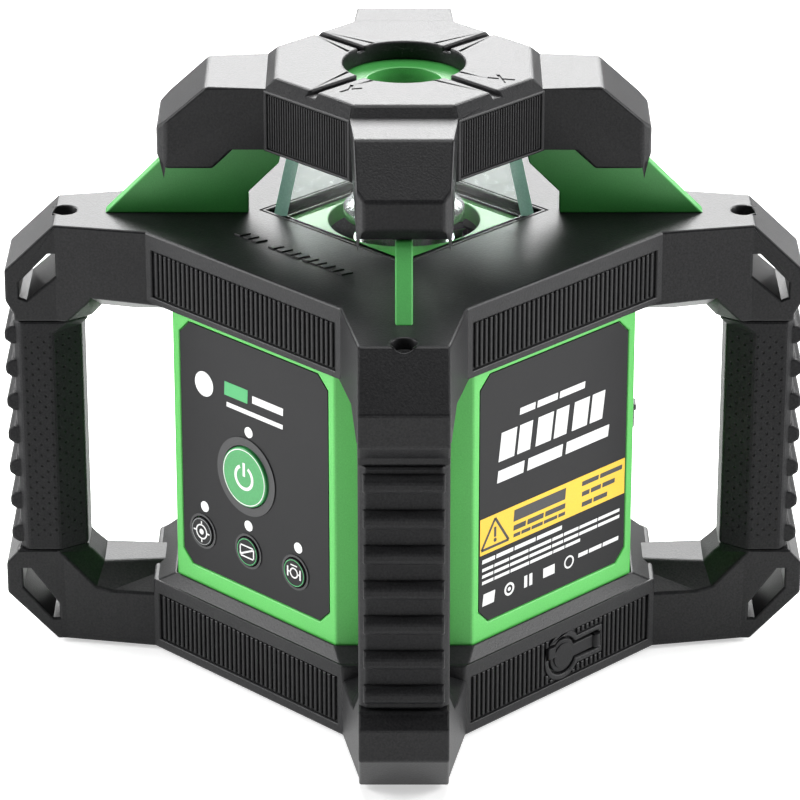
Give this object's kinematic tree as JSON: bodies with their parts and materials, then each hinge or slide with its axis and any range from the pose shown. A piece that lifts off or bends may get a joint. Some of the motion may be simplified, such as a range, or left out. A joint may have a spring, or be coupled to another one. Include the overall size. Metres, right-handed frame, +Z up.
{
  "type": "rotating laser level",
  "caption": "Self-levelling rotating laser level: square housing in a corner-handle frame, glass tower with a four-armed cap, key panel, battery door and tripod threads.",
  "frame": {"origin": "centre of the footprint, on the plane of the feet", "axes": "+Z up along the rotor axis, control panel towards -Y, label and charging port towards +X, handles on the diagonals"},
  "size_m": [0.2086, 0.2086, 0.2023],
  "materials": {
    "black_plastic": "fine grained matte black moulding",
    "grip_rubber": "matte black overmoulded rubber",
    "green_plastic": "bright green satin moulding",
    "clear_glass": "clear flat panes",
    "panel_film": "dark grey printed film",
    "button_green": "green keycap with a white power sign",
    "lens_white": "milky lens",
    "circuit_board": "green solder mask",
    "steel": "bright steel",
    "brass": "turned brass",
    "aluminium": "machined aluminium",
    "inner_plastic": "grey glass-filled nylon",
    "cell_wrap": "blue shrink sleeve"
  },
  "bodies": {
    "body": {"upper_frame": "black_plastic", "lower_frame": "black_plastic", "handle_posts": "inner_plastic", "grip_back_right": "grip_rubber", "grip_back_left": "grip_rubber", "grip_front_left": "grip_rubber", "grip_front_right": "grip_rubber", "foot_pads": "grip_rubber", "frame_screws": "steel", "cap_screws": "steel", "housing_shell": "green_plastic", "top_deck": "green_plastic", "base_plate": "aluminium", "thread_inserts": "brass", "side_mount_plate": "black_plastic", "side_clip": "black_plastic", "glass_right": "clear_glass", "glass_back": "clear_glass", "glass_left": "clear_glass", "glass_front": "clear_glass", "glass_seals": "grip_rubber", "fin_spider": "green_plastic", "top_cap": "black_plastic", "control_overlay": "panel_film", "panel_lenses": "lens_white", "panel_board": "circuit_board", "label_plate": "panel_film", "main_board": "circuit_board", "charge_socket": "inner_plastic", "battery_tray": "inner_plastic", "battery_cells": "cell_wrap", "gimbal_bracket": "inner_plastic", "outer_pivot_pins": "steel", "actuator_plate": "inner_plastic", "servo_motor_x": "steel", "servo_motor_y": "steel"},
    "power_key": {"power_button": "button_green"},
    "scan_key": {"scan_button": "panel_film"},
    "slope_key": {"slope_button": "panel_film"},
    "mode_key": {"mode_button": "panel_film"},
    "cover": {"port_cover": "grip_rubber"},
    "door": {"battery_door": "green_plastic"},
    "latch": {"door_latch": "steel"},
    "ring": {"gimbal_ring": "aluminium", "inner_pivot_pins": "steel"},
    "tube": {"laser_tube": "aluminium", "tilt_sensor": "inner_plastic", "laser_module": "brass", "collimator_lens": "clear_glass", "rotor_bearing": "steel", "rotor_motor": "steel", "drive_belt": "grip_rubber"},
    "rotor": {"rotor_base": "aluminium", "rotor_head": "aluminium", "pentaprism": "clear_glass"},
    "pulley": {"motor_pulley": "inner_plastic"},
    "screw_x": {"lead_screw_x": "steel"},
    "screw_y": {"lead_screw_y": "steel"},
    "nut_x": {"drive_nut_x": "brass"},
    "nut_y": {"drive_nut_y": "brass"}
  },
  "joints": [
    {"name": "power_press", "type": "slide", "parent": "body", "child": "power_key", "axis": [0, 1, 0], "range_m": [0, 0.001], "stiffness_N_per_m": 900, "springref_m": -0.0005},
    {"name": "scan_press", "type": "slide", "parent": "body", "child": "scan_key", "axis": [0, 1, 0], "range_m": [0, 0.0006], "stiffness_N_per_m": 900, "springref_m": -0.0005},
    {"name": "slope_press", "type": "slide", "parent": "body", "child": "slope_key", "axis": [0, 1, 0], "range_m": [0, 0.0006], "stiffness_N_per_m": 900, "springref_m": -0.0005},
    {"name": "mode_press", "type": "slide", "parent": "body", "child": "mode_key", "axis": [0, 1, 0], "range_m": [0, 0.0006], "stiffness_N_per_m": 900, "springref_m": -0.0005},
    {"name": "cover_swing", "type": "hinge", "parent": "body", "child": "cover", "pos_m": [0.0722, 0.0172, 0.0136], "axis": [0, 0, 1], "range_deg": [0, 110]},
    {"name": "door_swing", "type": "hinge", "parent": "body", "child": "door", "pos_m": [-0.0699, -0.0342, 0.08], "axis": [0, 0, 1], "range_deg": [0, 105]},
    {"name": "latch_turn", "type": "hinge", "parent": "door", "child": "latch", "pos_m": [-0.07, 0.0295, 0.0797], "axis": [1, 0, 0], "range_deg": [0, 90]},
    {"name": "tilt_x", "type": "hinge", "parent": "body", "child": "ring", "pos_m": [0, 0, 0.118], "axis": [1, 0, 0], "range_deg": [-5, 5]},
    {"name": "tilt_y", "type": "hinge", "parent": "ring", "child": "tube", "pos_m": [0, 0, 0.118], "axis": [0, 1, 0], "range_deg": [-5, 5]},
    {"name": "rotor_spin", "type": "hinge", "parent": "tube", "child": "rotor", "pos_m": [0, 0, 0.15], "axis": [0, 0, 1], "continuous": true},
    {"name": "pulley_spin", "type": "hinge", "parent": "tube", "child": "pulley", "pos_m": [0, 0.036, 0.1345], "axis": [0, 0, 1], "continuous": true},
    {"name": "screw_x_turn", "type": "hinge", "parent": "body", "child": "screw_x", "pos_m": [0.017, 0, 0.0465], "axis": [0, 1, 0], "range_deg": [-570, 570]},
    {"name": "screw_y_turn", "type": "hinge", "parent": "body", "child": "screw_y", "pos_m": [0, -0.017, 0.0405], "axis": [1, 0, 0], "range_deg": [-620, 620]},
    {"name": "nut_x_slide", "type": "slide", "parent": "body", "child": "nut_x", "axis": [0, 1, 0], "range_m": [-0.0064, 0.0064]},
    {"name": "nut_y_slide", "type": "slide", "parent": "body", "child": "nut_y", "axis": [1, 0, 0], "range_m": [-0.0069, 0.0069]}
  ],
  "couplings": [
    {"joint": "pulley_spin", "follows": "rotor_spin", "ratio": 3.2},
    {"joint": "nut_x_slide", "follows": "tilt_x", "m_per_rad": 0.0715},
    {"joint": "screw_x_turn", "follows": "tilt_x", "ratio": 112.31},
    {"joint": "nut_y_slide", "follows": "tilt_y", "m_per_rad": -0.0775},
    {"joint": "screw_y_turn", "follows": "tilt_y", "ratio": -121.74}
  ]
}
